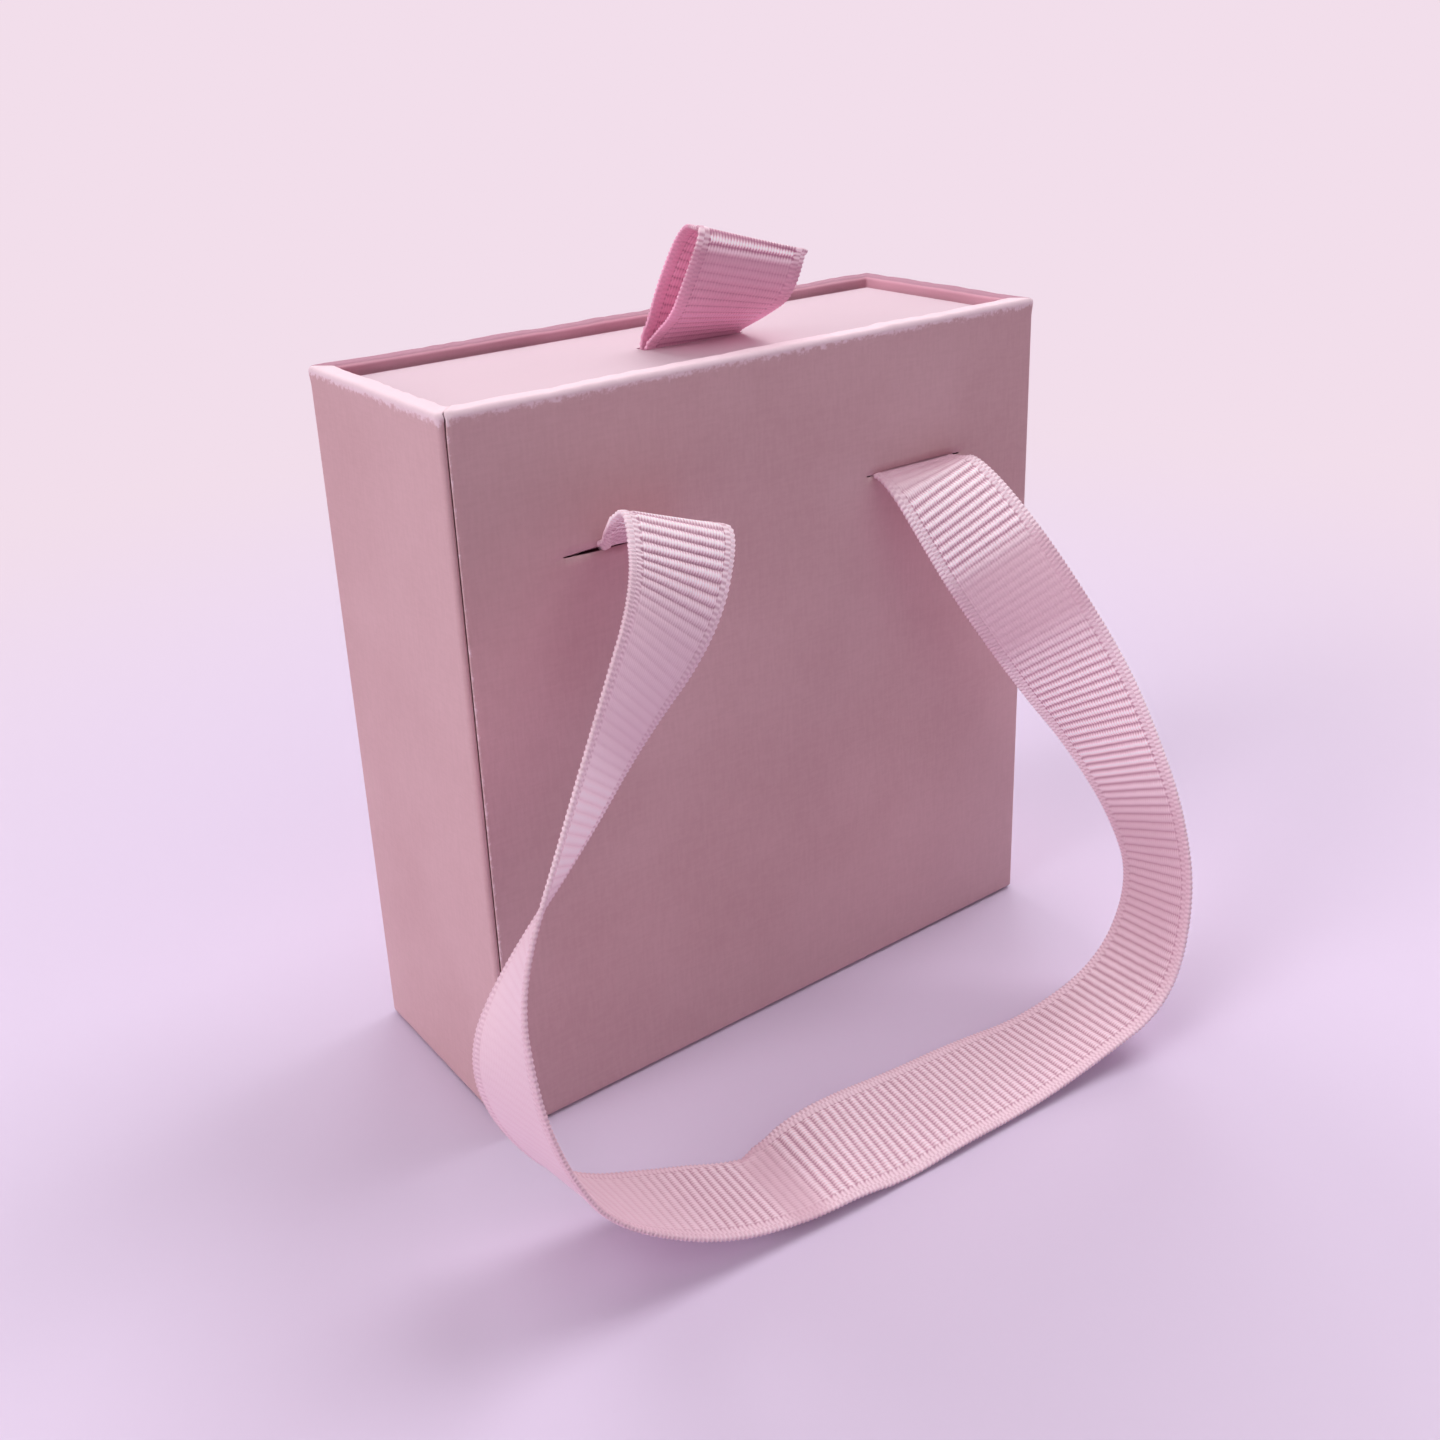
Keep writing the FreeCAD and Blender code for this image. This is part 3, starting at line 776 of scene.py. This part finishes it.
def cover_piece():
    """The sleeve's paper cover: stations round the box by stations up the wall. A point is the centre of
    its corner, moved in by its depth, plus the corner's remaining radius outward; rim and seam lip then
    stand proud by a fraction of a millimetre. Faces inside the two handle slits are left out, and the slits
    narrow to a fine cut at their ends."""
    sx, sy, nx, ny = round_box()
    depth, height, out_side, out_up = (row[:, None] for row in up_the_wall())
    rest = np.maximum(corner_round - depth, inner_corner)
    x = sx * (half_x - depth - rest) + nx * rest
    y = sy * (half_y - depth - rest) + ny * rest
    z = np.tile(height, (1, len(sx)))

    on_wall = np.abs(out_side + 1) < 1e-9
    facing = on_wall & (y < 0) & (ny < -0.99)
    near_slit = np.abs(np.abs(x) - slit_x)
    taper = step(near_slit, slit_half + 0.05, slit_half - slit_taper)
    opening = slit_end_open + (slit_open - slit_end_open) * taper
    slit_edge = facing & (np.abs(np.abs(z - slit_z) - slit_open) < 1e-6) & (near_slit < slit_half + 1e-3)
    z = np.where(slit_edge, slit_z + np.sign(z - slit_z) * opening, z)

    outline = np.stack([x, y])[:, np.flatnonzero(on_wall)[0]]
    run = np.concatenate([[0], np.cumsum(np.hypot(*np.diff(outline)))])
    to_rim = np.clip((height - sleeve_top + rim_reach) / rim_reach, 0, 1) * (depth <= wall_thick)
    lip = np.exp(-((x - seam_x) / lip_width) ** 2) * (facing & (x > seam_x - 0.01))
    wave = sum(rise * ripple(run, length, seed) for rise, length, seed in rim_ripples)
    lift = wave * step(to_rim, 0, 1) + lip_rise * lip
    points = np.stack([x - nx * out_side * lift, y - ny * out_side * lift, z + out_up * lift], -1)

    faces = grid_faces(*x.shape, False)
    middle_x, middle_z = (values.ravel()[faces].mean(1) for values in (x, z))
    in_slit = (np.abs(middle_z - slit_z) < 0.4) & (np.abs(np.abs(middle_x) - slit_x) < slit_half)
    cut = facing.ravel()[faces].all(1) & in_slit

    # Paler rubbed paper at the rim's top and at the upright corners: real wear, and also a painted highlight
    # on the lit front and left rim. The seam's lip is painted paler as a highlight, and on the back and right
    # rim the paleness is held back as painted shade.
    at_corner = 1 - np.maximum(np.abs(nx), np.abs(ny))
    wear_and_painted_light = np.clip(np.exp(-((sleeve_top - z) / rim_wear_reach) ** 2) + at_corner, 0, 1)
    shaded_rim = ((y > 0) & (ny > 0.5)) | ((x > 0) & (nx > 0.5))
    wear_and_painted_light = np.maximum(wear_and_painted_light, lip_painted_highlight * lip) * (out_side < 0.5) * (1 - 0.75 * shaded_rim * (out_side > -0.95))
    # The inner attribute marks painted shade: 1 on the wall's inner face, and a half on the back and right
    # rim, which stand in shade.
    inside = np.maximum(step(out_side, 0.2, 0.8), 0.5 * step(out_side, -0.95, -0.4) * shaded_rim)
    marks = {"wear_and_painted_light": wear_and_painted_light.ravel(), "inside": inside.ravel()}
    made = mesh_piece("sleeve_cover", points.reshape(-1, 3), faces[~cut], sleeve_paper, values=marks)
    thick = made.modifiers.new("thickness", "SOLIDIFY")
    thick.thickness = paper_thick * MM
    thick.offset = -1
    thick.use_even_offset = True
    return made


cover = cover_piece()

# ---------------------------------------------------------------- pieces kept from the frame


def finish_nodes(finish, *names):
    """Gives those nodes of the frame one material on all of their slots."""
    for name in names:
        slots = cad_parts[name].data.materials
        slots.clear()
        slots.append(finish)


finish_nodes(board_painted_dark, *[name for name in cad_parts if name.endswith("_board")])
finish_nodes(lining_paper, "sleeve_wall_lining", "sleeve_floor_lining")
finish_nodes(drawer_paper_painted_sheen, "drawer_wrap", "drawer_lining")
finish_nodes(label_paper, "base_label")

# ---------------------------------------------------------------- what each piece rides on

for piece in (cover, tail_left, tail_right):
    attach(piece, "sleeve")
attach(pull_root, "drawer")
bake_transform(handle)
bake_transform(pull)

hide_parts("sleeve_wrap")
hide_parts("handle_ribbon")
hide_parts("handle_end_left")
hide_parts("handle_end_right")
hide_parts("pull_loop")
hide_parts("pull_end")

(handle_line[0][::steps_per_rib] * MM).tolist()

# ---------------------------------------------------------------- floor and light

pale_backdrop = (0.887, 0.73, 0.831, 1)
lilac_floor = (0.688, 0.567, 0.742, 1)
sky_strength = 0.05

# In metres: where the floor ends, where it turns into the backdrop, and how far and steeply the backdrop
# rises.
floor_reach = 0.4
glow_from, glow_to = 0.05, 0.22
backdrop_reach, backdrop_curve = 4, 0.3


def disc(name, reach, rise, material):
    """A round sheet of stage: rings at those distances from the box and at those heights, in metres."""
    turn = np.linspace(0, math.tau, 65)[:-1]
    points = np.stack([reach[:, None] * np.cos(turn), reach[:, None] * np.sin(turn),
                       np.tile(rise[:, None], (1, len(turn)))], -1)
    made = mesh_piece(name, points.reshape(-1, 3) / MM, grid_faces(len(reach), len(turn), True), material)
    return made


def make_floor():
    """A lilac floor that passes into a plain pale backdrop, which glows evenly and lights nothing."""
    cloth = Finish("floor_cloth", Roughness=0.9, Specular_IOR_Level=0.1, Base_Color=lilac_floor)
    in_metres = cloth.place((MM, MM, MM))
    far = cloth.node("ShaderNodeVectorMath", {"operation": "LENGTH"}, {0: in_metres}, out="Value")
    glow = cloth.node("ShaderNodeEmission", sockets={"Color": pale_backdrop})
    near = Value(cloth, cloth.shader.outputs[0])
    both = cloth.node("ShaderNodeMixShader", sockets={0: far.between(glow_from, glow_to), 1: near, 2: glow})
    cloth.tree.links.new(both.socket, cloth.tree.nodes["Material Output"].inputs["Surface"])
    reach = np.linspace(0, floor_reach, 9)
    disc("floor", reach, 0 * reach, cloth.material)
    paint = Finish("backdrop_paint", Base_Color=black, Specular_IOR_Level=0, Emission_Color=pale_backdrop,
                   Emission_Strength=1)
    past = np.linspace(0, backdrop_reach, 41)
    backdrop = disc("backdrop", floor_reach + past, backdrop_curve * past ** 2, paint.material)
    backdrop.visible_diffuse = False
    backdrop.visible_shadow = False


make_floor()


def sun(name, azimuth, elevation, spread, strength):
    """A soft far light, its angles in degrees: azimuth from +X toward +Y, elevation above the floor, and
    spread, the light's own width."""
    lamp = bpy.data.lights.new(name, "SUN")
    lamp.energy, lamp.angle = strength, math.radians(spread)
    light = bpy.data.objects.new(name, lamp)
    bpy.context.scene.collection.objects.link(light)
    a, e = math.radians(azimuth), math.radians(elevation)
    toward = Vector((math.cos(a) * math.cos(e), math.sin(a) * math.cos(e), math.sin(e)))
    light.rotation_euler = toward.to_track_quat("Z", "Y").to_euler()


sun("left_low", 180, 20, 30, 1.19)
sun("left_middle", 180, 40, 30, 0.28)
sun("left_high", 180, 60, 30, 0.31)
sun("back_low", 90, 35, 25, 0.77)
sun("back_right", 50, 35, 30, 0.80)
sun("right_low", 0, 20, 30, 0.31)
sun("right_high", 0, 60, 30, 1.22)
sun("overhead", 100, 78, 25, 0.37)
sun("front_right", -45, 40, 40, 0.18)
sun("front", 270, 40, 40, 0.37)

world = bpy.data.worlds.new("studio")
bpy.context.scene.world = world
world.use_nodes = True
sky = world.node_tree.nodes["Background"]
sky.inputs["Color"].default_value = pale_backdrop
sky.inputs["Strength"].default_value = sky_strength
bpy.context.scene.view_settings.view_transform = "Standard"
